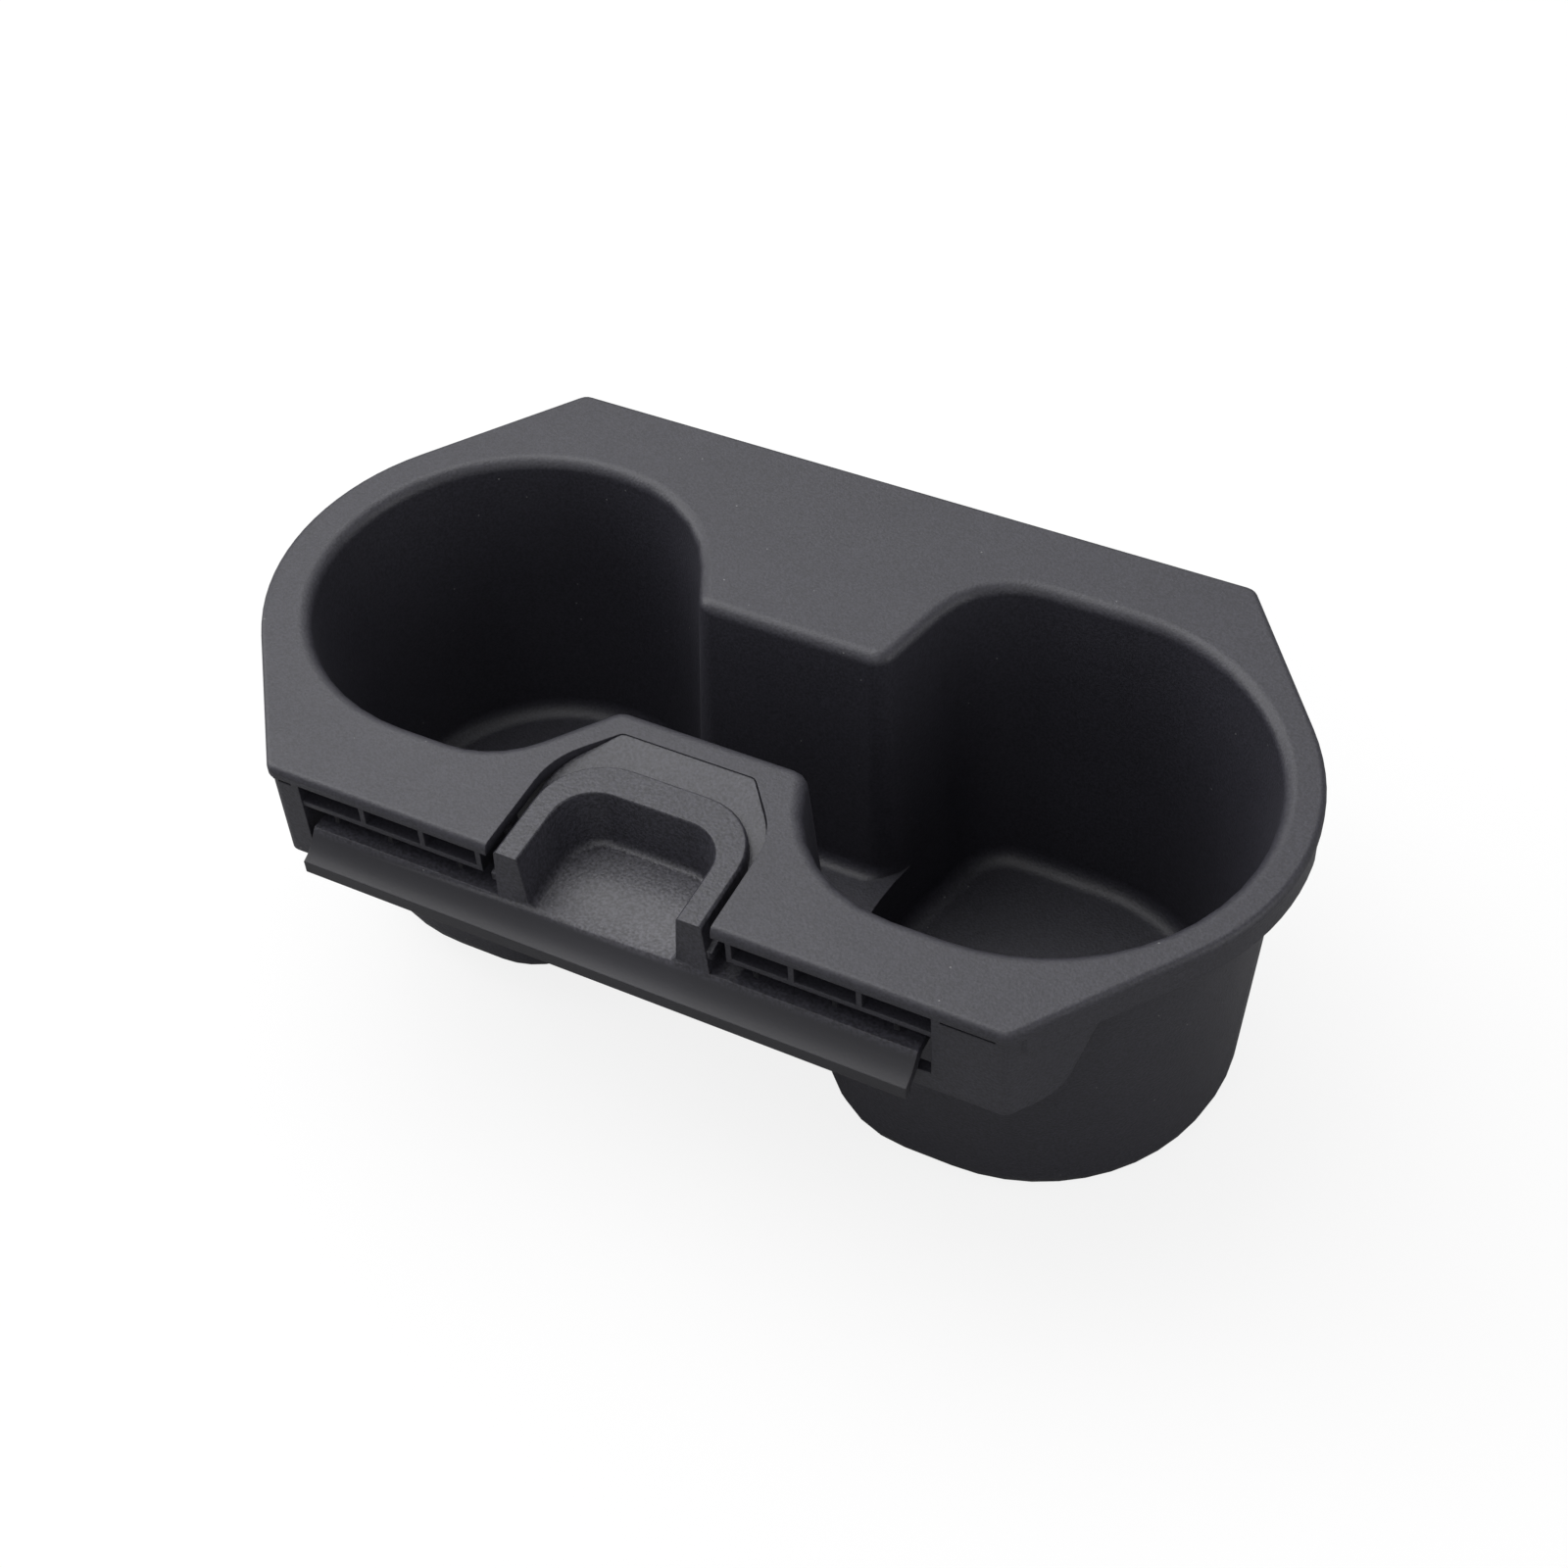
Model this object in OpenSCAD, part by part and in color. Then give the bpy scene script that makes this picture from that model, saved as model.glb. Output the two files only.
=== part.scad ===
// Car cup holder insert: one deck moulding with two wells joined by a channel, and a finger bezel
// pushed in from the front. Millimetres. The deck frame has z = 0 at the top of the deck, y = 0 at the
// front face, and x = 0 in the middle; place() moves it so that the part stands on z = 0.

/* [Deck] */
// Width of the deck over its two round ends
deck_w = 210; // [208:0.5:216]
// Depth of the deck from front to back
deck_d = 117.8; // [116.5:0.1:121]
// Length of the straight front edge, corner to corner
front_w = 147; // [144:0.5:150]
// Length of the straight back edge, corner to corner
back_w = 147.4; // [144:0.2:150]
// Radius of the round ends
end_r = 48.9; // [47.5:0.1:52]
// Radius of the four deck corners in plan
corner_r = 3; // [2:0.1:4.5]
// Thickness of the deck plate
deck_t = 2.5; // [2.2:0.1:3.2]
// Rounding of the top edge of the deck
edge_r = 1.3; // [0.8:0.1:1.6]
// Height of the side rims
rim_h = 7; // [6:0.2:8.5]
// Where the side rims end, from the front face
rim_end = 63; // [50:1:75]

/* [Wells] */
// Width of the right well over its rounded lip
right_lip_d = 90; // [84:0.5:91]
// Width of the left well over its rounded lip
left_lip_d = 83; // [78:0.5:87]
// Middle of the right well, from the middle of the deck
right_x = 55.2; // [54:0.1:57]
// Middle of the left well, from the middle of the deck
left_x = 56.5; // [55:0.1:58]
// Middle of the right well, from the front face
right_y = 58; // [57:0.1:59.5]
// Middle of the left well, from the front face
left_y = 58.7; // [57:0.1:59.5]
// Depth of the right well
right_deep = 73.5; // [68:0.5:90]
// Depth of the left well
left_deep = 68; // [64:0.5:85]
// Radius of the rounded lip round the wells
lip_r = 2.6; // [1.6:0.1:3]
// Draft of the well walls, degrees
draft = 3.6; // [2:0.1:4.5]
// Wall thickness of the wells, the rims and the skirt
wall_t = 2.2; // [1.8:0.1:2.6]
// Radius between the well walls and their floors
floor_r = 4; // [2.5:0.5:5]

/* [Channel] */
// Depth of the channel floor between the wells
channel_deep = 58; // [40:1:60]
// Back edge of the channel lip, from the front face
channel_back = 73; // [71:0.5:75]
// Front edge of the channel lip, from the front face
channel_front = 37.6; // [37.4:0.1:40]
// Middle of the channel, left of the middle of the deck
channel_left = 2.2; // [1.8:0.1:2.6]
// Length of the channel between the wells
channel_len = 35.8; // [34:0.2:37]

/* [Front] */
// Middle of the bezel, left of the middle of the deck
bezel_left = 4.2; // [2:0.1:5]
// Height of the front skirt
skirt_h = 23; // [21.5:0.1:26]
// Half of the width of the pocket in the front
pocket_half = 63.5; // [62:0.1:65]
// Depth of the pocket behind the front face
pocket_d = 8; // [7:0.2:9]
// Thickness of the pocket ribs and of the bar under them
rib_t = 1.1; // [0.9:0.1:1.4]

/* [Bezel] */
// Half of the inner width of the U-shaped ring
ring_in = 15.9; // [14:0.1:16.5]
// Width of the arms of the ring
ring_w = 4.9; // [4:0.1:5.2]
// Gap between the ring and the notch in the deck
notch_gap = 1.7; // [1.2:0.1:2]
// Slope of the apron round the ring, degrees
apron_deg = 12; // [9:0.5:13]
// Depth of the finger tray below the deck
tray_z = 12.9; // [11.8:0.1:13.4]
// Thickness of the bezel walls
bezel_t = 2; // [1.6:0.1:2.2]
// How far the lip of the rail stands out in front
rail_out = 5; // [3.5:0.1:6.5]
// Fit between the bezel and the body
fit = 0.2; // [0.12:0.02:0.3]

/* [Hidden] */
well_bottom = max(right_deep, left_deep) + wall_t;

// The round ends: the slanted edges are the tangents from the deck corners to the end circles
end_x = deck_w/2 - end_r;
end_y = 0.497*deck_d;

// Steps of each corner that turns into the channel
turn_n = 3;

// The well lip, corner by corner, anticlockwise from the front of the right well
rr = right_lip_d/2;
lr = left_lip_d/2;
ch_r = channel_len/2 - channel_left;
ch_l = -channel_len/2 - channel_left;
lip = [
    [right_x + rr, right_y - rr, rr - 0.1, 12],
    [right_x + rr, right_y + rr, rr - 0.1, 12],
    [ch_r + 7.3, right_y + rr, 19, 5],
    [ch_r, channel_back, 1.5, turn_n],
    [ch_l, channel_back, 1.5, turn_n],
    [ch_l - 13.5, left_y + lr, 33, 5],
    [-left_x - lr, left_y + lr, lr - 0.1, 12],
    [-left_x - lr, left_y - lr, lr - 0.1, 12],
    [ch_l - 15.6, left_y - lr, 22, 5],
    [ch_l, channel_front, 1.5, turn_n],
    [ch_r, channel_front, 1.5, turn_n],
    [ch_r + 6.4, right_y - rr, 30, 6]
];
// The four corners that turn into the channel, and how far the channel wall bows into each well
back_r = 3;
back_l = 4;
front_l = 9;
front_r = 10;
bow_r = 2.1;
bow_l = 3.6;

// The wells' walls: the lip rounding runs straight into the drafted wall
lip_turn = 90 - draft;
lip_end_d = lip_r*sin(lip_turn);
lip_end_z = -lip_r*(1 - cos(lip_turn));
saddle_r = 3;

// The deck notch and the bezel inside it
ring_out = ring_in + ring_w;
notch_half = ring_out + notch_gap;
notch_y = 34.3;
notch_slant = 13.7;
notch_turn = 23.5;
ring_back = 20.4;
ring_top = 0.6;
ring_wide = 7.1;
arm_taper = 0.9;
core_t = 1.5;
apron_y = 0.3;
apron_t = 1.8;

// The front pocket: three cells a side over the bar, the rail below it
pocket_low = 18.7;
bar_z = 8.3;
cell_end = 25.2;
cell_x = [37.25, 50.05];
fin_x = [30, 45.1, 56.8];
fin_t = 1;
fin_h = 2.3;
slot_h = 1.4;
bar_in = 0.3;
skirt_in = 0.7;
rim_in = 0.12;

// The rail: it ends short of the pocket sides
rail_gap = 2.1;
rail_half = pocket_half - rail_gap;
rail_low = 20.2;
rail_t = 1.8;
web_x = [-50, -25, 0, 25, 50];
hook_x = [-52, -33, 33, 52];
hook_w = 7;
hook_t = 1.4;
hook_up = 1;

// Step a by one along a closed list
function after(i, n) = (i + 1)%n;
function before(i, n) = (i + n - 1)%n;

// Points of corner i of outline v, with every side moved inwards by d and the points that weigh more
// moved in by x as well; w0 and w1 are the weights at the two ends of the corner
function corner(v, i, d, x = 0, w0 = 0, w1 = 0) =
    let(
        n = len(v),
        c = v[i],
        p = v[before(i, n)],
        q = v[after(i, n)],
        a1 = atan2(c[1] - p[1], c[0] - p[0]),
        a2 = atan2(q[1] - c[1], q[0] - c[0]),
        turn = (a2 - a1 + 540)%360 - 180,
        s = turn > 0 ? 1 : -1,
        t = c[2]*tan(abs(turn)/2),
        cx = c[0] - t*cos(a1) - s*c[2]*sin(a1),
        cy = c[1] - t*sin(a1) + s*c[2]*cos(a1)
    )
    [for (k = [0:c[3]])
        let(
            f = k/c[3],
            a = a1 - 90*s + turn*f,
            r = c[2] - s*(d + x*pow(w0 + (w1 - w0)*f, 3))
        )
        [cx + r*cos(a), cy + r*sin(a)]];

// A whole rounded outline, moved inwards by d
function outline(v, d) = [for (i = [0:len(v) - 1]) each corner(v, i, d)];

// The lip outline moved inwards by d, and the channel walls by x more
function lip_outline(d, x) = [for (i = [0:len(lip) - 1])
    each corner(lip, i, d, x, i == back_l || i == front_r ? 1 : 0, i == back_r || i == front_l ? 1 : 0)];

// First and last place of each corner in the lip outline
function first_of(i) = i == 0 ? 0 : first_of(i - 1) + lip[i - 1][3] + 1;
function last_of(i) = first_of(i) + lip[i][3];
lip_n = last_of(len(lip) - 1) + 1;

// Bowed line from point a to point b, without its ends, standing out to the right by h
bow_n = 2*turn_n;
function bow(a, b, h) =
    let(
        m = (a + b)/2,
        l = norm(b - a),
        u = (b - a)/l,
        o = [u[1], -u[0]],
        r = (l*l/4 + h*h)/(2*h),
        g = asin(l/2/r)
    )
    [for (k = [1:bow_n - 1])
        let(a1 = -g + 2*g*k/bow_n)
        m + u*r*sin(a1) + o*(h - r + r*cos(a1))];

// Faces between two rings of point numbers, the first ring above the second
function strip(a, b) = [for (i = [0:len(a) - 1])
    let(j = after(i, len(a)))
    each [[a[i], a[j], b[j]], [a[i], b[j], b[i]]]];

// Faces of the narrow floor between a corner and a bow; both lists start at their common tip
function web(a, b) = concat(
    [for (j = [0:turn_n - 1]) [a[j], a[j + 1], b[j + 1]]],
    [for (j = [1:turn_n - 1]) [a[j], b[j + 1], b[j]]]
);
function flipped(f) = [for (t = f) [t[0], t[2], t[1]]];
function run(from, n) = [for (i = [0:n - 1]) from + i];
function turned(a) = [for (i = [len(a) - 1:-1:0]) a[i]];
function flat_points(p, z) = [for (q = p) [q[0], q[1], z]];

// How far the drafted wall has come in at height z; t is the wall thickness left outside it
function wall_in(z, t) = lip_end_d + (lip_end_z - z)*tan(draft) - t/cos(draft);

// Rounding between the wall and a floor at height z: [more than the wall, height] from wall to floor
function floor_round(z, r, t, n) =
    let(c = wall_in(z + r - r*sin(draft), t) + r*cos(draft))
    [for (k = [0:n])
        let(a = draft + (90 - draft)*k/n, h = z + r - r*sin(a))
        [c - r*cos(a), h]];

// Both wells and the channel as one solid: the hollow has t = 0, the shell round it the wall thickness.
// The upper rings go round everything; at the channel floor the solid parts into two wells.
module wells(top, t, round_lip) {
    saddle = -channel_deep - t;
    upper = concat(
        round_lip
            ? concat(
                [[0, 0, top]],
                [for (k = [0:4]) [lip_r*sin(lip_turn*k/4), 0, -lip_r*(1 - cos(lip_turn*k/4))]]
            )
            : [[wall_in(top, t), 0, top]],
        [for (p = floor_round(saddle, saddle_r, t, 2)) [wall_in(p[1], t), p[0] - wall_in(p[1], t), p[1]]]
    );
    m = len(upper);
    rings = [for (u = upper) flat_points(lip_outline(u[0], u[1]), u[2])];
    base = (m - 1)*lip_n;
    low = lip_outline(upper[m - 1][0], upper[m - 1][1]);

    right = concat(run(first_of(11), lip[11][3] + 1), run(0, last_of(2) + 1), [first_of(back_r)]);
    left = run(last_of(back_l), first_of(front_l) - last_of(back_l) + 1);
    right_0 = concat([last_of(front_r)], right);
    right_bow = bow(low[first_of(back_r)], low[last_of(front_r)], bow_r);
    left_bow = bow(low[first_of(front_l)], low[last_of(back_l)], bow_l);
    b_right = m*lip_n;
    b_left = b_right + len(right_bow);
    b_low = b_left + len(left_bow);

    right_n = len(right_0) + len(right_bow);
    left_n = len(left) + len(left_bow);
    right_low = floor_round(-right_deep - t, floor_r + t, t, 3);
    left_low = floor_round(-left_deep - t, floor_r + t, t, 3);
    f = len(right_low);
    right_rings = [for (p = right_low)
        let(o = lip_outline(p[0], 0), a = [for (i = right_0) o[i]])
        flat_points(concat(a, bow(a[len(a) - 1], a[0], bow_r)), p[1])];
    left_rings = [for (p = left_low)
        let(o = lip_outline(p[0], 0), a = [for (i = left) o[i]])
        flat_points(concat(a, bow(a[len(a) - 1], a[0], bow_l)), p[1])];
    b_left_low = b_low + f*right_n;

    points = concat(
        [for (r = rings) each r],
        flat_points(right_bow, saddle),
        flat_points(left_bow, saddle),
        [for (r = right_rings) each r],
        [for (r = left_rings) each r]
    );
    right_top = concat([for (i = right_0) base + i], run(b_right, len(right_bow)));
    left_top = concat([for (i = left) base + i], run(b_left, len(left_bow)));
    tip_rb = run(base + first_of(back_r), turn_n + 1);
    tip_lb = turned(run(base + first_of(back_l), turn_n + 1));
    tip_lf = run(base + first_of(front_l), turn_n + 1);
    tip_rf = turned(run(base + first_of(front_r), turn_n + 1));
    mid_r = b_right + turn_n - 1;
    mid_l = b_left + turn_n - 1;
    channel_floor = concat(
        web(tip_rb, concat([tip_rb[0]], run(b_right, turn_n))),
        web(tip_lf, concat([tip_lf[0]], run(b_left, turn_n))),
        flipped(web(tip_rf, concat([tip_rf[0]], turned(run(mid_r, turn_n))))),
        flipped(web(tip_lb, concat([tip_lb[0]], turned(run(mid_l, turn_n))))),
        [
            [mid_r, tip_rb[turn_n], tip_lb[turn_n]],
            [mid_r, tip_lb[turn_n], mid_l],
            [mid_r, mid_l, tip_lf[turn_n]],
            [mid_r, tip_lf[turn_n], tip_rf[turn_n]]
        ]
    );
    faces = concat(
        [turned(run(0, lip_n))],
        [for (k = [0:m - 2]) each strip(run(k*lip_n, lip_n), run((k + 1)*lip_n, lip_n))],
        channel_floor,
        strip(right_top, run(b_low, right_n)),
        [for (k = [0:f - 2])
            each strip(run(b_low + k*right_n, right_n), run(b_low + (k + 1)*right_n, right_n))],
        [run(b_low + (f - 1)*right_n, right_n)],
        strip(left_top, run(b_left_low, left_n)),
        [for (k = [0:f - 2])
            each strip(run(b_left_low + k*left_n, left_n), run(b_left_low + (k + 1)*left_n, left_n))],
        [run(b_left_low + (f - 1)*left_n, left_n)]
    );
    polyhedron(points = points, faces = faces, convexity = 8);
}

// Corner where the slanted edges from two deck corners meet, outside the end circle
function tangent(p, side) =
    let(d = p - [end_x, end_y], a = atan2(d[1], d[0]) + side*acos(end_r/norm(d)))
    [cos(a), sin(a), cos(a)*p[0] + sin(a)*p[1]];
function meet(a, b) =
    let(k = a[0]*b[1] - a[1]*b[0])
    [(a[2]*b[1] - a[1]*b[2])/k, (a[0]*b[2] - a[2]*b[0])/k];
end_p = meet(tangent([front_w/2, 0], 1), tangent([back_w/2, deck_d], -1));
deck = [
    [front_w/2, 0, corner_r, 3],
    [end_p[0], end_p[1], end_r, 18],
    [back_w/2, deck_d, corner_r, 3],
    [-back_w/2, deck_d, corner_r, 3],
    [-end_p[0], end_p[1], end_r, 18],
    [-front_w/2, 0, corner_r, 3]
];

// Solid through outline v at falling heights: each level is [height, how far the sides come in]
module loft(v, levels) {
    n = len(outline(v, 0));
    m = len(levels);
    points = [for (l = levels) each flat_points(outline(v, l[1]), l[0])];
    faces = concat(
        [turned(run(0, n))],
        [for (k = [0:m - 2]) each strip(run(k*n, n), run((k + 1)*n, n))],
        [run((m - 1)*n, n)]
    );
    polyhedron(points = points, faces = faces, convexity = 6);
}

module deck_plate() {
    loft(deck, concat(
        [for (k = [0:3]) [-edge_r*(1 - cos(30*k)), edge_r*(1 - sin(30*k))]],
        [[-deck_t, 0]]
    ));
}

// A band that follows the deck outline, from d inside it to the wall thickness further in
module band(d, z0, z1) {
    translate([0, 0, z0]) linear_extrude(height = z1 - z0) difference() {
        polygon(outline(deck, d));
        polygon(outline(deck, d + wall_t));
    }
}

// Side view that the skirt is cut to: it curves up from the corner gusset to the rim
module skirt_view() {
    v = [
        [-1, -skirt_h, 0.5, 1],
        [9.4, -skirt_h, 6, 8],
        [15.2, -rim_h + 0.5, 4, 5],
        [17, -rim_h + 0.5, 0.2, 1],
        [17, -0.5, 0.2, 1],
        [-1, -0.5, 0.2, 1]
    ];
    rotate([90, 0, 90]) translate([0, 0, -deck_w/2]) linear_extrude(height = deck_w) polygon(outline(v, 0));
}

module skirt() {
    intersection() {
        band(skirt_in, -skirt_h - 1, -0.5);
        skirt_view();
    }
    intersection() {
        band(rim_in, -rim_h, -1);
        translate([-deck_w/2, 3, -rim_h - 1]) cube([deck_w, rim_end - 3, rim_h + 1]);
    }
}

// Plan of the notch in the deck, with the sides moved in by d
function notch_v(d) = [
    [-notch_half + d, -9, 0.3, 1],
    [notch_half - d, -9, 0.3, 1],
    [notch_half - d, notch_turn, 16 - d, 8],
    [notch_slant - d/2, notch_y - d, 1.5, 2],
    [-notch_slant + d/2, notch_y - d, 1.5, 2],
    [-notch_half + d, notch_turn, 16 - d, 8]
];

module holder_body() {
    color([0.1, 0.1, 0.11]) place() {
        difference() {
            union() {
                deck_plate();
                skirt();
                wells(-1, wall_t, false);
                translate([-bezel_left, 0, 0]) pocket_walls();
            }
            wells(1, 0, true);
            translate([-bezel_left, 0, 0]) notch();
            corner_slots();
        }
        translate([-bezel_left, 0, 0]) pocket_ribs();
    }
}

// How far back the skirt and the pocket reach
front_y = skirt_in + wall_t;
pocket_back = skirt_in + pocket_d;

// Back and side walls of the pocket, with windows for the hooks of the bezel
module pocket_walls() {
    difference() {
        translate([-pocket_half - wall_t, skirt_in + 0.3, -pocket_low])
            cube([2*(pocket_half + wall_t), pocket_d + wall_t - 0.3, pocket_low - 1]);
        translate([-notch_half, 0, -skirt_h]) cube([2*notch_half, pocket_back + wall_t + 1, skirt_h]);
        for (x = hook_x)
            translate([x - hook_w/2 - fit, pocket_back - 1, -tray_z - bezel_t - fit])
                cube([hook_w + 2*fit, wall_t + 2, bezel_t + 2*fit + 0.3]);
    }
}

// The notch through the deck and the pocket under it, open to the front
module notch() {
    translate([0, 0, -deck_t - 1]) linear_extrude(height = deck_t + 2) polygon(outline(notch_v(0), 0));
    translate([-pocket_half, -1, -pocket_low])
        cube([2*pocket_half, pocket_back + 1, pocket_low - deck_t]);
}

// Thin slots under the deck edge, between the pocket and the corners
module corner_slots() {
    for (x = [
        [-front_w/2 + 1.5, -bezel_left - pocket_half - 1.6],
        [pocket_half - bezel_left + 1.6, front_w/2 - 2.5]
    ])
        translate([x[0], -1, -deck_t - slot_h - 0.1]) cube([x[1] - x[0], skirt_in + 2, slot_h]);
}

// Ribs across the pocket, the bar under the cells and the fins under the bar
module pocket_ribs() {
    for (s = [-1, 1]) {
        for (x = concat([cell_end], cell_x))
            translate([s*x - rib_t/2, skirt_in + bar_in, -bar_z])
                cube([rib_t, pocket_d, bar_z - 1]);
        translate([s > 0 ? cell_end - rib_t/2 : -pocket_half - 1, skirt_in + bar_in, -bar_z - rib_t/2])
            cube([pocket_half + 1 - cell_end + rib_t/2, pocket_d, rib_t]);
        for (x = fin_x)
            translate([s*x - fin_t/2, skirt_in + bar_in + 0.5, -bar_z - rib_t/2 - fin_h])
                cube([fin_t, pocket_d - 0.5, fin_h + 0.2]);
    }
}

// Outlines of the ring, open to the front
function ring_v(h, y, r) = [[-h, -30, 4, 1], [h, -30, 4, 1], [h, y, r, 8], [-h, y, r, 8]];

// Height of the apron's top at distance y from the front face
function apron_z(y) = -(notch_y - y)*tan(apron_deg);

module ring() {
    low = -tray_z - bezel_t - 0.4;
    difference() {
        loft(ring_v(ring_out, ring_back + ring_wide, 13), [
            [-ring_top, 0.5],
            [-ring_top - 0.5, 0],
            [low, -arm_taper]
        ]);
        loft(ring_v(ring_in, ring_back, 8), [
            [1, -0.9],
            [-ring_top, -0.35],
            [-ring_top - 0.35, 0],
            [-tray_z + 1.2, arm_taper],
            [-tray_z, arm_taper + 1.2]
        ]);
        difference() {
            loft(ring_v(ring_out - core_t, ring_back + ring_wide - core_t, 13 - core_t), [
                [-ring_top - bezel_t, 0],
                [low - 1, -arm_taper]
            ]);
            loft(ring_v(ring_in + core_t, ring_back + core_t, 8 + core_t), [
                [-ring_top - bezel_t + 1, 0],
                [low - 2, arm_taper]
            ]);
            translate([-50, -31, low - 2]) cube([100, 31 + core_t, 20]);
        }
        translate([-50, -40, -30]) cube([100, 40, 40]);
    }
}

module apron() {
    difference() {
        intersection() {
            translate([0, 0, -20]) linear_extrude(height = 22) polygon(outline(notch_v(fit), 0));
            rotate([90, 0, 90]) translate([0, 0, -notch_half]) linear_extrude(height = 2*notch_half) polygon([
                [apron_y, apron_z(apron_y)],
                [apron_y, apron_z(apron_y) - apron_t],
                [notch_y + 2, apron_z(notch_y + 2) - apron_t],
                [notch_y + 2, apron_z(notch_y + 2)]
            ]);
        }
        translate([0, 0, -25]) linear_extrude(height = 30)
            polygon(outline(ring_v(ring_out - 1, ring_back + ring_wide - 1, 12), 0));
    }
}

// Side view of the rail: a flange that goes into the pocket and a face that flares out to the lip
rail_view = [
    [0, -tray_z],
    [-0.24*rail_out, -tray_z - 1.6],
    [-0.46*rail_out, -tray_z - 2.9],
    [-0.72*rail_out, -tray_z - 3.9],
    [-rail_out, -tray_z - 4.5],
    [-rail_out, -rail_low],
    [-rail_out + rail_t, -rail_low],
    [-rail_out + rail_t, -tray_z - 6],
    [-0.46*rail_out + rail_t, -tray_z - 4.6],
    [-0.24*rail_out + rail_t, -tray_z - 3.2],
    [rail_t, -tray_z - bezel_t],
    [pocket_back - fit, -tray_z - bezel_t],
    [pocket_back - fit, -tray_z]
];

module rail() {
    rotate([90, 0, 90]) translate([0, 0, -rail_half]) linear_extrude(height = 2*rail_half) polygon(rail_view);
    for (x = web_x)
        translate([x - rib_t/2, -rail_out + 1, -rail_low + 0.4]) rotate([90, 0, 90])
            linear_extrude(height = rib_t) polygon([
            [0, 0],
            [rail_out - 1 + skirt_in, 0],
            [rail_out - 1 + skirt_in, rail_low - tray_z - bezel_t + 0.3],
            [rail_out - 1, rail_low - tray_z - bezel_t + 0.3],
            [0, 1.5]
        ]);
}

// Hooks at the back of the flange: each goes through its window and rises behind the wall
module hooks() {
    for (x = hook_x)
        translate([x - hook_w/2, 0, 0]) rotate([90, 0, 90]) linear_extrude(height = hook_w) polygon([
            [pocket_back - 1, -tray_z - bezel_t + 0.1],
            [pocket_back + wall_t + fit + 1.6, -tray_z - bezel_t + 0.1],
            [pocket_back + wall_t + fit + 1.6, -tray_z - bezel_t + hook_t],
            [pocket_back + wall_t + fit + 0.4, -tray_z + hook_up],
            [pocket_back + wall_t + fit, -tray_z + hook_up],
            [pocket_back + wall_t + fit, -tray_z - bezel_t + hook_t],
            [pocket_back - 1, -tray_z - bezel_t + hook_t]
        ]);
}

module finger_bezel() {
    color([0.13, 0.13, 0.14]) place() translate([-bezel_left, 0, 0]) {
        ring();
        apron();
        rail();
        hooks();
    }
}

module place() {
    translate([0, -(deck_d - rail_out)/2, well_bottom]) children();
}

holder_body();
finger_bezel();
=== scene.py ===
"""Looks of the car cup holder insert: its two mouldings, their grained plastics, studio and camera."""

import logging
import math
from dataclasses import dataclass, field
from enum import Enum
from typing import Any

import bpy
from mathutils import Matrix, Vector


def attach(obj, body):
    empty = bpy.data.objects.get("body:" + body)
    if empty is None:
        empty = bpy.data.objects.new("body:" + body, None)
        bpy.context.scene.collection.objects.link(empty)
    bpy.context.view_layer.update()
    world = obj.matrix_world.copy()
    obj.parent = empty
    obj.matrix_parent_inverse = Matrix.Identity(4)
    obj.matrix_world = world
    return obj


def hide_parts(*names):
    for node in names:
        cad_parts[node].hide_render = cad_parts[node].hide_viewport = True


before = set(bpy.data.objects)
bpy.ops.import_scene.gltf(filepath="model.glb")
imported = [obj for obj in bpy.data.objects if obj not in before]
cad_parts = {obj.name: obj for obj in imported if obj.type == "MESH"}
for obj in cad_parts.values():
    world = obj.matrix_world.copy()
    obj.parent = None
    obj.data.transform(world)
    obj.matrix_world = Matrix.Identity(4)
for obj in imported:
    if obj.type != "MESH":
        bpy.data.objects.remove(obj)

log = logging.getLogger("cup_holder")

Socket = bpy.types.NodeSocket
Range = tuple[float, float]
Triple = tuple[float, float, float]

MM = 0.001
BODY = "root"
WHITE = (1.0, 1.0, 1.0, 1.0)
# Values between which a noise mostly lies, and between which nearly all of it lies.
NOISE_MOSTLY: Range = (0.35, 0.65)
NOISE_WIDELY: Range = (0.3, 0.7)


class Grain(Enum):
    """How coarse the moulded texture of a surface is, as the width of one grain in millimetres."""

    FINE = 0.5
    COARSE = 0.58


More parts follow.
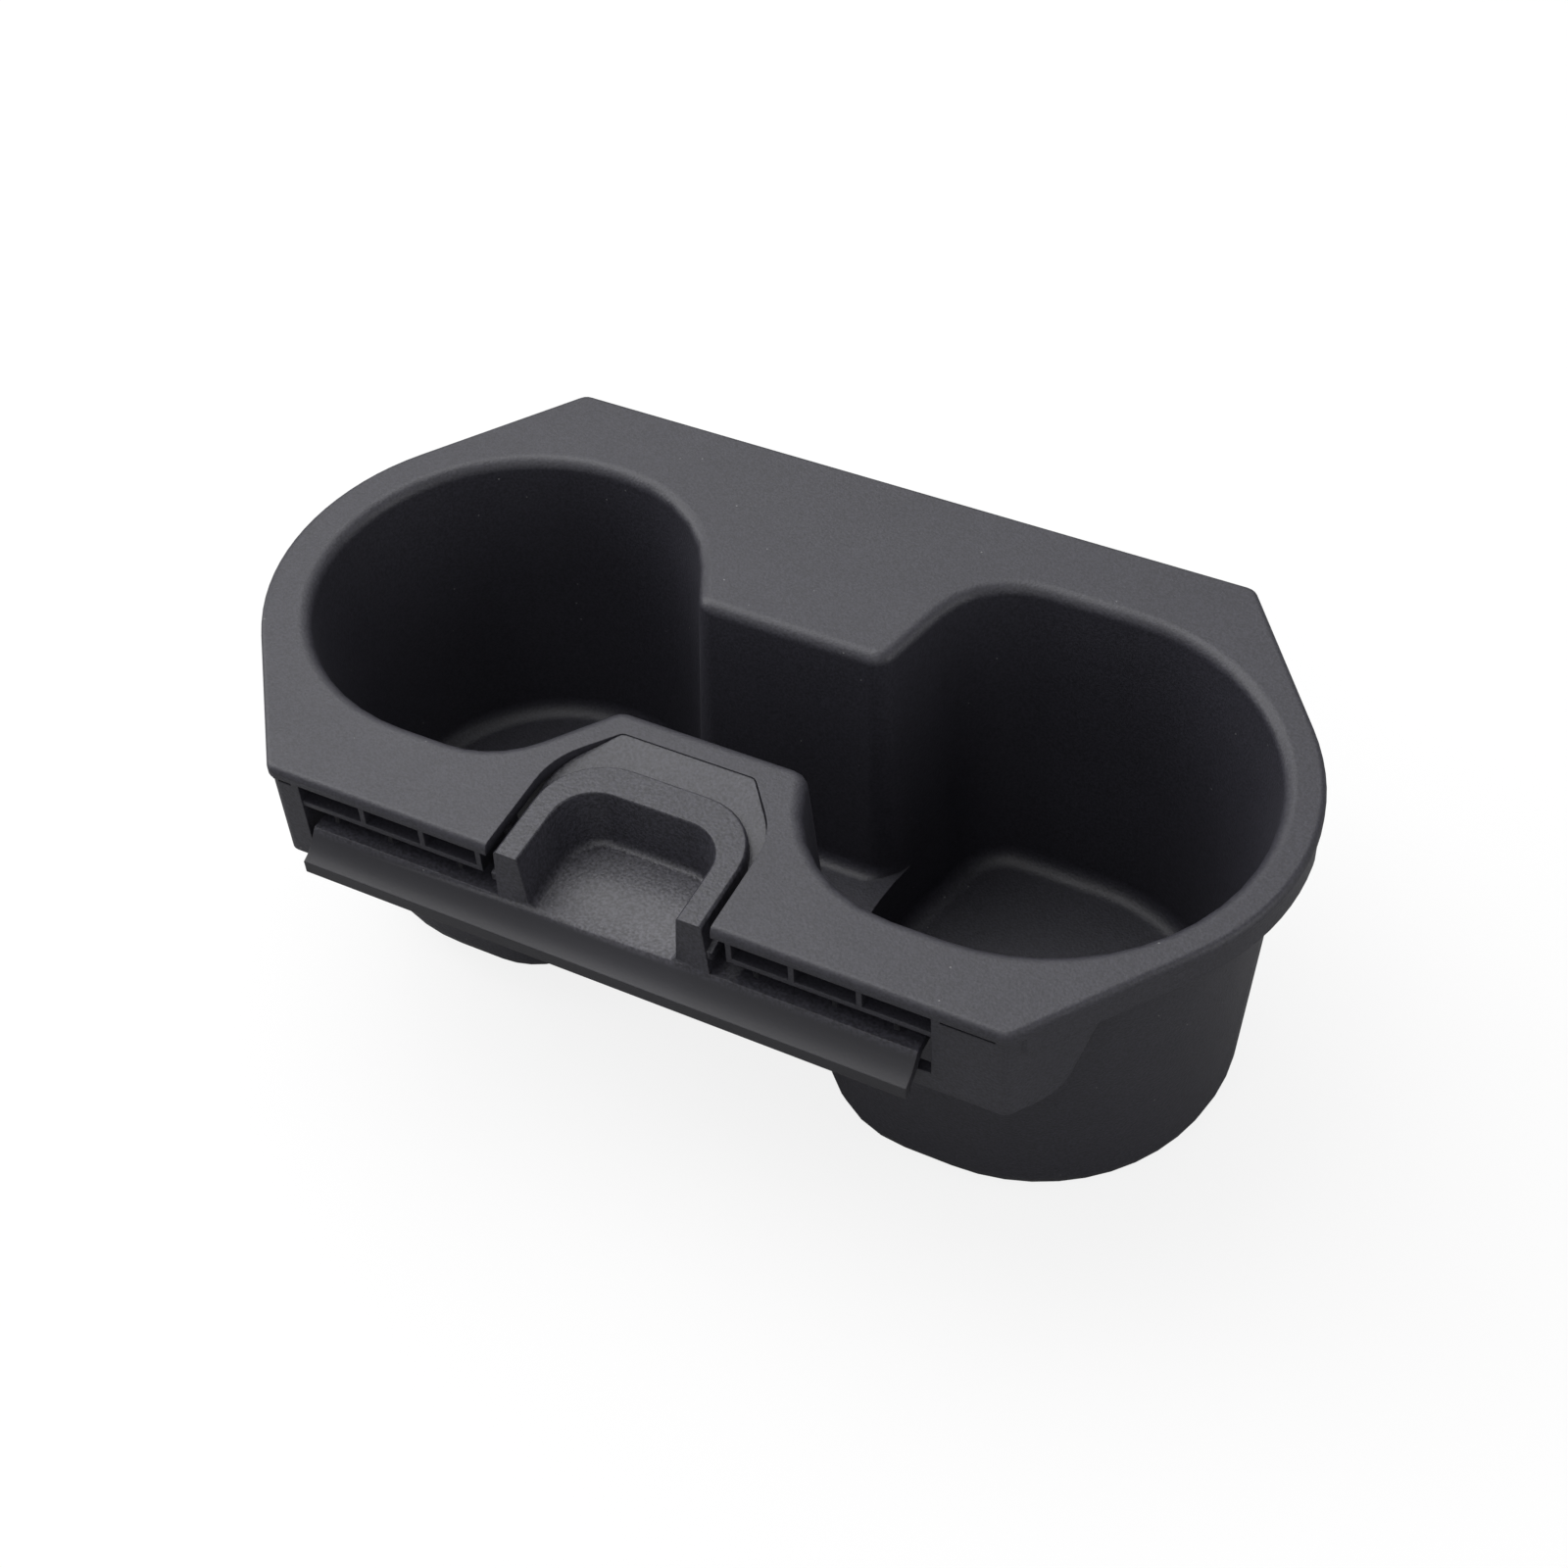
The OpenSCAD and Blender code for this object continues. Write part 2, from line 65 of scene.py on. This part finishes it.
@dataclass(frozen=True)
class Bench:
    """The node tree of a material or a world, with the steps that several finishes share.

    Args:
        tree: Node tree that the nodes go into.
    """

    tree: bpy.types.NodeTree

    def add(
        self,
        kind: str,
        values: dict[str | int, Any] | None = None,
        links: dict[str | int, Socket] | None = None,
        **choices: str | int,
    ) -> bpy.types.Node:
        """Add a node.

        Args:
            kind: Type of the node.
            values: Fixed values of its inputs.
            links: Outputs that feed its inputs.
            choices: The node's own settings, which decide which inputs it has.

        Returns:
            The node.
        """
        node = self.tree.nodes.new(kind)
        for name, choice in choices.items():
            setattr(node, name, choice)
        for name, value in (values or {}).items():
            node.inputs[name].default_value = value
        for name, source in (links or {}).items():
            self.tree.links.new(source, node.inputs[name])
        return node

    def noise(self, place: Socket, size: float, detail: float) -> Socket:
        """Add a noise texture.

        Args:
            place: Coordinates to read.
            size: Size of one blotch in metres.
            detail: Number of finer layers.

        Returns:
            The grey value of the noise.
        """
        values = {"Scale": 1.0 / size, "Detail": detail}
        return self.add("ShaderNodeTexNoise", values, {"Vector": place}).outputs["Fac"]

    def span(self, value: Socket, seen: Range, wanted: Range) -> Socket:
        """Carry one range of values over to another, and hold the ends beyond it.

        Args:
            value: Value to read.
            seen: Range that the value moves in.
            wanted: Range that it is carried to.

        Returns:
            The new value.
        """
        ends = dict(zip(("From Min", "From Max", "To Min", "To Max"), (*seen, *wanted)))
        return self.add("ShaderNodeMapRange", ends, {"Value": value}).outputs["Result"]

    def below(self, value: Socket, limit: float) -> Socket:
        """Give 1 where a value is under the limit, and 0 elsewhere."""
        return self.add("ShaderNodeMath", {1: limit}, {0: value}, operation="LESS_THAN").outputs[0]

    def vector(self, operation: str, value: Socket, other: Triple) -> Socket:
        """Do one sum on a vector and a fixed one."""
        made = self.add("ShaderNodeVectorMath", {1: other}, {0: value}, operation=operation)
        return made.outputs["Vector"]

    def ramp(self, value: Socket, seen: Range, low: Triple, high: Triple) -> Socket:
        """Turn a grey value into a colour between two others.

        Args:
            value: Grey value to read.
            seen: Range that the value moves in.
            low: Linear colour at the low end.
            high: Linear colour at the high end.

        Returns:
            The colour.
        """
        made = self.add("ShaderNodeValToRGB", links={"Fac": value})
        for end, at, colour in zip(made.color_ramp.elements, seen, (low, high)):
            end.position = at
            end.color = (*colour, 1.0)
        return made.outputs["Color"]

    def mix(self, share: Socket, first: Socket, second: Socket | Triple) -> Socket:
        """Mix two colours.

        Args:
            share: Share of the second colour.
            first: First colour.
            second: Second colour, from a node or fixed.

        Returns:
            The mixed colour.
        """
        made = self.add("ShaderNodeMix", links={"Factor": share, "A": first}, data_type="RGBA")
        if isinstance(second, tuple):
            made.inputs["B"].default_value = (*second, 1.0)
        else:
            self.tree.links.new(second, made.inputs["B"])
        return made.outputs["Result"]


@dataclass(frozen=True)
class DustSpecks:
    """Pale specks of dust, one at most in each cell of a loose pattern.

    Args:
        cell: Size of a cell in metres.
        reach: Radius of a speck as a share of the cell.
        share: Share of the cells that hold a speck.
        colour: Linear red, green and blue of the dust.
    """

    cell: float = 4.2 * MM
    reach: float = 0.045
    share: float = 0.35
    colour: Triple = (0.12, 0.12, 0.125)

    def over(self, bench: Bench, place: Socket, plain: Socket) -> Socket:
        """Lay the specks over a colour.

        Args:
            bench: Node tree to add to.
            place: Coordinates to read.
            plain: Colour before.

        Returns:
            The dusty colour.
        """
        cells = bench.add("ShaderNodeTexVoronoi", {"Scale": 1.0 / self.cell}, {"Vector": place})
        near = bench.below(cells.outputs["Distance"], self.reach)
        draw = bench.add("ShaderNodeSeparateColor", links={"Color": cells.outputs["Color"]})
        chosen = bench.below(draw.outputs["Red"], self.share)
        both = bench.add("ShaderNodeMath", links={0: near, 1: chosen}, operation="MULTIPLY")
        return bench.mix(both.outputs[0], plain, self.colour)


@dataclass(frozen=True)
class PaintedLightPatch:
    """A patch of painted light, where the colour is painted lighter in place of light that falls there.

    Args:
        centre: Middle of the patch in metres.
        half: Half of its width, depth and height in metres.
        painted_light_gain: How many times lighter the red, green and blue are painted there.
        edge: Shares of the half sizes between which the patch fades, the outer one first.
    """

    centre: Triple
    half: Triple
    painted_light_gain: Triple
    edge: Range = (1.15, 0.75)

    def over(self, bench: Bench, place: Socket, plain: Socket) -> Socket:
        """Paint the colour lighter inside the patch, as painted light.

        Args:
            bench: Node tree to add to.
            place: Coordinates to read.
            plain: Colour before.

        Returns:
            The colour with its patch.
        """
        away = bench.vector("DIVIDE", bench.vector("SUBTRACT", place, self.centre), self.half)
        far = bench.add("ShaderNodeVectorMath", links={0: away}, operation="LENGTH")
        inside = bench.span(far.outputs["Value"], self.edge, (0.0, 1.0))
        return bench.mix(inside, plain, bench.vector("MULTIPLY", plain, self.painted_light_gain))


@dataclass(frozen=True)
class SmoothShadedFront:
    """The part of a moulding in front of a line, which is smoother than the rest and painted darker, as
    painted shade.

    Args:
        line: Depth of the line in metres.
        fade: Depth in metres over which the change is made.
        relief: Share of the etched grain that is left.
        shade: Share of the colour that is left there, as painted shade.
    """

    line: float
    fade: float = 0.6 * MM
    relief: float = 0.15
    shade: float = 0.6

    def switch(self, bench: Bench, place: Socket, behind: float, front: float) -> Socket:
        """Give one value behind the line and another in front of it.

        Args:
            bench: Node tree to add to.
            place: Coordinates to read.
            behind: Value behind the line.
            front: Value in front of it.

        Returns:
            The value.
        """
        parts = bench.add("ShaderNodeSeparateXYZ", links={0: place})
        return bench.span(parts.outputs["Y"], (self.line, self.line - self.fade), (behind, front))


@dataclass(frozen=True)
class GrainedPlastic:
    """Black moulded plastic with an etched grain, faint flow shading and a few specks of dust.

    Args:
        name: Name of the material.
        colour: Linear red, green and blue of the plastic.
        grain: How coarse the etched texture is.
        depth: Height of the texture in metres.
        roughness: Roughness of the plain surface.
        sheen: How far the roughness strays below and above, in blotches.
        sheen_size: Size of such a blotch in metres.
        mottle: How far the colour of single grains strays to either side, as a share of it.
        flow: How far the slow flow shading strays to either side, as a share of the colour.
        flow_size: Size of one flow blotch in metres.
        edge: Radius in metres to which moulded edges are softened.
        edge_rays: Number of rays that look for an edge to soften.
        ior: Index of refraction of the plastic.
        dust: Specks of dust on it.
        painted_light: The patch where light is painted into the colour, if there is one.
        smooth: The part that is smoother and painted darker as painted shade, if there is one.
    """

    name: str
    colour: Triple
    grain: Grain
    depth: float = 0.05 * MM
    roughness: float = 0.5
    sheen: Range = (0.015, 0.02)
    sheen_size: float = 9 * MM
    mottle: float = 0.24
    flow: float = 0.04
    flow_size: float = 22 * MM
    edge: float = 0.35 * MM
    edge_rays: int = 6
    ior: float = 1.49
    dust: DustSpecks = DustSpecks()
    painted_light: PaintedLightPatch | None = None
    smooth: SmoothShadedFront | None = None

    def material(self) -> bpy.types.Material:
        """Build the material.

        Returns:
            The finished material.
        """
        made = bpy.data.materials.new(self.name)
        made.use_nodes = True
        bench = Bench(made.node_tree)
        shader = made.node_tree.nodes["Principled BSDF"]
        shader.inputs["IOR"].default_value = self.ior
        place = bench.add("ShaderNodeTexCoord").outputs["Object"]
        for name, source in (
            ("Base Color", self._colour(bench, place)),
            ("Roughness", self._roughness(bench, place)),
            ("Normal", self._relief(bench, place)),
        ):
            made.node_tree.links.new(source, shader.inputs[name])
        return made

    def _colour(self, bench: Bench, place: Socket) -> Socket:
        """Colour the surface: flow shading, grains, the painted light patch, the smooth part with its
        painted shade, and dust.

        Args:
            bench: Node tree to add to.
            place: Coordinates to read.

        Returns:
            The colour.
        """
        dark = tuple((1.0 - self.flow) * c for c in self.colour)
        light = tuple((1.0 + self.flow) * c for c in self.colour)
        blotch = bench.noise(place, self.flow_size, 3.0)
        plain = bench.ramp(blotch, NOISE_MOSTLY, dark, light)
        fine = bench.noise(place, self.grain.value * MM, 1.0)
        stray = bench.span(fine, NOISE_MOSTLY, (1.0 - self.mottle, 1.0 + self.mottle))
        grains = {"Vector": plain, "Scale": stray}
        plain = bench.add("ShaderNodeVectorMath", links=grains, operation="SCALE").outputs["Vector"]
        # Painted light: inside the patch the colour is painted lighter.
        if self.painted_light:
            plain = self.painted_light.over(bench, place, plain)
        # Painted shade: in front of the line the colour is painted darker.
        if self.smooth:
            painted_shade_colour = tuple(self.smooth.shade * c for c in self.colour)
            plain = bench.mix(self.smooth.switch(bench, place, 0.0, 1.0), plain, painted_shade_colour)
        return self.dust.over(bench, place, plain)

    def _roughness(self, bench: Bench, place: Socket) -> Socket:
        """Vary the roughness a little over the surface.

        Args:
            bench: Node tree to add to.
            place: Coordinates to read.

        Returns:
            The roughness.
        """
        below, above = self.sheen
        ends = (self.roughness - below, self.roughness + above)
        return bench.span(bench.noise(place, self.sheen_size, 4.0), NOISE_WIDELY, ends)

    def _relief(self, bench: Bench, place: Socket) -> Socket:
        """Raise the etched grain over softened edges.

        Args:
            bench: Node tree to add to.
            place: Coordinates to read.

        Returns:
            The normal.
        """
        cells = bench.add(
            "ShaderNodeTexVoronoi",
            {"Scale": 1.0 / (self.grain.value * MM)},
            {"Vector": place},
            feature="SMOOTH_F1",
        )
        soft = bench.add("ShaderNodeBevel", {"Radius": self.edge}, samples=self.edge_rays)
        bump = bench.add(
            "ShaderNodeBump",
            {"Distance": self.depth, "Strength": 1.0},
            {"Height": cells.outputs["Distance"], "Normal": soft.outputs["Normal"]},
        )
        if self.smooth:
            left = self.smooth.switch(bench, place, 1.0, self.smooth.relief)
            bench.tree.links.new(left, bump.inputs["Strength"])
        return bump.outputs["Normal"]


def deselect_all() -> None:
    """Leave object mode with nothing selected."""
    if bpy.context.object and bpy.context.object.mode != "OBJECT":
        bpy.ops.object.mode_set(mode="OBJECT")
    bpy.ops.object.select_all(action="DESELECT")


def pick(piece: bpy.types.Object) -> None:
    """Select one object alone and make it active."""
    deselect_all()
    piece.select_set(True)
    bpy.context.view_layer.objects.active = piece


@dataclass
class Moulding:
    """One injection moulding, finished from the CAD node that it stands for.

    Args:
        node: Name of the CAD node.
        piece_name: Name of the finished piece.
        slot: Material slot of the record; not used.
        finish: Plastic that it is moulded in.
        weld: Distance in metres under which corners are one.
        flat: Angle in degrees under which neighbouring facets are one face.
        smooth: Angle in degrees under which facets shade as one surface.
        large_faces: How strongly large faces decide the shading, from 1 to 100.
    """

    node: str
    piece_name: str
    slot: str
    finish: GrainedPlastic
    weld: float = 0.002 * MM
    flat: float = 0.3
    smooth: float = 32.0
    large_faces: int = 80

    def build(self) -> bpy.types.Object:
        """Copy the CAD node, weld it, merge its flat facets and smooth its curves.

        Returns:
            The finished piece.
        """
        deselect_all()
        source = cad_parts[self.node]
        piece = source.copy()
        piece.data = source.data.copy()
        piece.name = self.piece_name
        piece.data.name = self.piece_name
        piece.parent = None
        piece.matrix_world = Matrix.Identity(4)
        bpy.context.scene.collection.objects.link(piece)
        pick(piece)
        bpy.ops.object.mode_set(mode="EDIT")
        bpy.ops.mesh.select_all(action="SELECT")
        bpy.ops.mesh.remove_doubles(threshold=self.weld)
        bpy.ops.mesh.select_all(action="SELECT")
        bpy.ops.mesh.dissolve_limited(angle_limit=math.radians(self.flat))
        bpy.ops.object.mode_set(mode="OBJECT")
        bpy.ops.object.shade_smooth_by_angle(angle=math.radians(self.smooth))
        bpy.ops.object.modifier_add(type="WEIGHTED_NORMAL")
        weighted = piece.modifiers[-1]
        weighted.mode = "FACE_AREA"
        weighted.weight = self.large_faces
        weighted.keep_sharp = True
        bpy.ops.object.modifier_apply(modifier=weighted.name)
        self.dress(piece)
        return piece

    def dress(self, piece: bpy.types.Object) -> None:
        """Give the piece its finish and tie it to the frame."""
        piece.data.materials.clear()
        piece.data.materials.append(self.finish.material())
        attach(piece, BODY)
        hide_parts(self.node)
        log.info("%s: %d faces", piece.name, len(piece.data.polygons))


@dataclass
class HolderBody(Moulding):
    """The deck with its two wells, the channel, the rims, the skirt and the ribbed pocket."""

    node: str = "holder_body"
    piece_name: str = "holder_moulding"
    slot: str = "body_plastic"
    finish: GrainedPlastic = GrainedPlastic(
        "grained body plastic", (0.0225, 0.022, 0.0295), Grain.FINE
    )


@dataclass
class FingerBezel(Moulding):
    """The ring with its apron and tray, and the flared rail under it."""

    node: str = "finger_bezel"
    piece_name: str = "bezel_moulding"
    slot: str = "bezel_plastic"
    finish: GrainedPlastic = GrainedPlastic(
        "grained bezel plastic",
        (0.0235, 0.023, 0.0305),
        Grain.COARSE,
        depth=0.08 * MM,
        roughness=0.47,
        mottle=0.36,
        # Painted light: the tray floor is painted about twice as light, in place of light that falls on
        # it.
        painted_light=PaintedLightPatch(
            centre=(-0.0036, -0.0476, 0.0628),
            half=(0.0185, 0.014, 0.0022),
            painted_light_gain=(2.0, 2.0, 1.8033),
        ),
        # Painted shade: the rail's front face in front of the line is painted darker; its smoother
        # grain is the rail's own.
        smooth=SmoothShadedFront(line=-0.0567),
    )


@dataclass
class Lamp:
    """A large soft box of the studio.

    Args:
        name: Name of the lamp.
        place: Where it stands, in metres.
        size: Width and height in metres.
        power: Power in watts.
        aim: Point that it lights, in metres.
    """

    name: str
    place: Triple
    size: tuple[float, float]
    power: float
    aim: Triple = (0.0, 0.0, 0.03)

    def build(self) -> None:
        """Add the lamp and turn it towards its aim."""
        light = bpy.data.lights.new(self.name, "AREA")
        light.shape = "RECTANGLE"
        light.size, light.size_y = self.size
        light.energy = self.power
        lamp = bpy.data.objects.new(self.name, light)
        lamp.location = self.place
        turn = Vector(self.aim) - Vector(self.place)
        lamp.rotation_euler = turn.to_track_quat("-Z", "Y").to_euler()
        bpy.context.scene.collection.objects.link(lamp)


@dataclass
class Studio:
    """White floor, soft lamps and an even sky.

    Args:
        floor_half: Half of the width of the floor in metres.
        sky: Strength of the even light from all round.
        glow: Share of the floor's look, to the camera, that is its own white.
        white: Strength of that white.
        bounce: Reflectance of the floor, which lights the object from below.
        lamps: The soft boxes.
    """

    floor_half: float = 3.0
    sky: float = 0.3
    glow: float = 0.6
    white: float = 1.4
    bounce: float = 0.3
    lamps: list[Lamp] = field(
        default_factory=lambda: [
            Lamp("back softbox", (-0.25, 1.0, 1.0), (1.5, 1.0), 5.0),
            Lamp("top softbox", (-0.5, 0.15, 1.25), (1.1, 1.1), 14.5),
            Lamp("left softbox", (-1.3, -0.1, 0.7), (0.8, 0.8), 10.0),
            Lamp("right softbox", (1.3, 0.1, 0.5), (0.8, 0.8), 4.5),
            Lamp("front softbox", (0.35, -1.3, 0.35), (1.2, 0.5), 1.5),
            Lamp("high front softbox", (0.1, -0.75, 1.0), (1.0, 1.0), 3.2),
        ]
    )

    def build(self) -> None:
        """Build the floor, the sky and the lamps."""
        deselect_all()
        bpy.ops.mesh.primitive_plane_add(size=2 * self.floor_half, location=(0.0, 0.0, 0.0))
        floor = bpy.context.object
        floor.name = "studio_floor"
        bpy.ops.object.mode_set(mode="EDIT")
        bpy.ops.mesh.select_all(action="SELECT")
        bpy.ops.mesh.subdivide(number_cuts=1)
        bpy.ops.object.mode_set(mode="OBJECT")
        floor.data.materials.append(self._paper())
        self._sky()
        for lamp in self.lamps:
            lamp.build()

    def _paper(self) -> bpy.types.Material:
        """Build the white paper, which glows a little for the camera and still takes a shadow.

        Returns:
            The floor's material.
        """
        paper = bpy.data.materials.new("white paper")
        paper.use_nodes = True
        nodes = paper.node_tree.nodes
        bench = Bench(paper.node_tree)
        shader = nodes["Principled BSDF"]
        shader.inputs["Base Color"].default_value = (*[self.bounce] * 3, 1.0)
        shader.inputs["Roughness"].default_value = 1.0
        shader.inputs["Specular IOR Level"].default_value = 0.0
        white = bench.add("ShaderNodeEmission", {"Strength": self.white})
        seen = bench.add("ShaderNodeLightPath").outputs["Is Camera Ray"]
        share = bench.add("ShaderNodeMath", {1: self.glow}, {0: seen}, operation="MULTIPLY")
        layers = {0: share.outputs[0], 1: shader.outputs[0], 2: white.outputs[0]}
        mix = bench.add("ShaderNodeMixShader", links=layers)
        bench.tree.links.new(mix.outputs[0], nodes["Material Output"].inputs["Surface"])
        return paper

    def _sky(self) -> None:
        """Fill the world with even light, and show it to the camera as white."""
        world = bpy.data.worlds.new("even sky")
        bpy.context.scene.world = world
        world.use_nodes = True
        nodes = world.node_tree.nodes
        bench = Bench(world.node_tree)
        even = nodes["Background"]
        even.inputs["Color"].default_value = WHITE
        even.inputs["Strength"].default_value = self.sky
        white = bench.add("ShaderNodeBackground", {"Color": WHITE})
        seen = bench.add("ShaderNodeLightPath").outputs["Is Camera Ray"]
        mix = bench.add("ShaderNodeMixShader", links={0: seen, 1: even.outputs[0], 2: white.outputs[0]})
        bench.tree.links.new(mix.outputs[0], nodes["World Output"].inputs["Surface"])


@dataclass
class ViewPoint:
    """The photographer's place, as an orbit round a point on the deck.

    Args:
        target: Point that the orbit is round, in metres.
        azimuth: Degrees from straight in front towards the right.
        elevation: Degrees above the deck.
        distance: Distance from the target in metres.
        roll: Degrees that the picture is turned.
        focal_px: Focal length in pixels of the picture.
        picture_px: Width of the picture in pixels.
        sensor_mm: Width of the camera's sensor in millimetres.
    """

    target: Triple = (0.01477, -0.02124, 0.0757)
    azimuth: float = 29.80
    elevation: float = 47.17
    distance: float = 0.4471
    roll: float = 4.01
    focal_px: float = 2553.26
    picture_px: float = 1600.0
    sensor_mm: float = 36.0

    def build(self) -> None:
        """Add the camera and make it the scene's own."""
        a = math.radians(self.azimuth)
        e = math.radians(self.elevation)
        r = math.radians(self.roll)
        back = Vector((math.sin(a) * math.cos(e), -math.cos(a) * math.cos(e), math.sin(e)))
        level = (-back).cross(Vector((0.0, 0.0, 1.0))).normalized()
        down = (-back).cross(level)
        right = math.cos(r) * level + math.sin(r) * down
        up = math.sin(r) * level - math.cos(r) * down
        place = Vector(self.target) + back * self.distance
        lens = bpy.data.cameras.new("photo view")
        lens.sensor_width = self.sensor_mm
        lens.lens = self.focal_px / self.picture_px * self.sensor_mm
        camera = bpy.data.objects.new("photo view", lens)
        turn = Matrix((right, up, back)).transposed().to_4x4()
        camera.matrix_world = Matrix.Translation(place) @ turn
        bpy.context.scene.collection.objects.link(camera)
        bpy.context.scene.camera = camera


def main() -> None:
    """Build the pieces in order, then the studio and the camera."""
    logging.basicConfig(level=logging.INFO, format="%(name)s: %(message)s")
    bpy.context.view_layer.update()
    bpy.context.scene.view_settings.view_transform = "Standard"
    for part in (HolderBody(), FingerBezel()):
        part.build()
    Studio().build()
    ViewPoint().build()


if __name__ == "__main__":
    main()
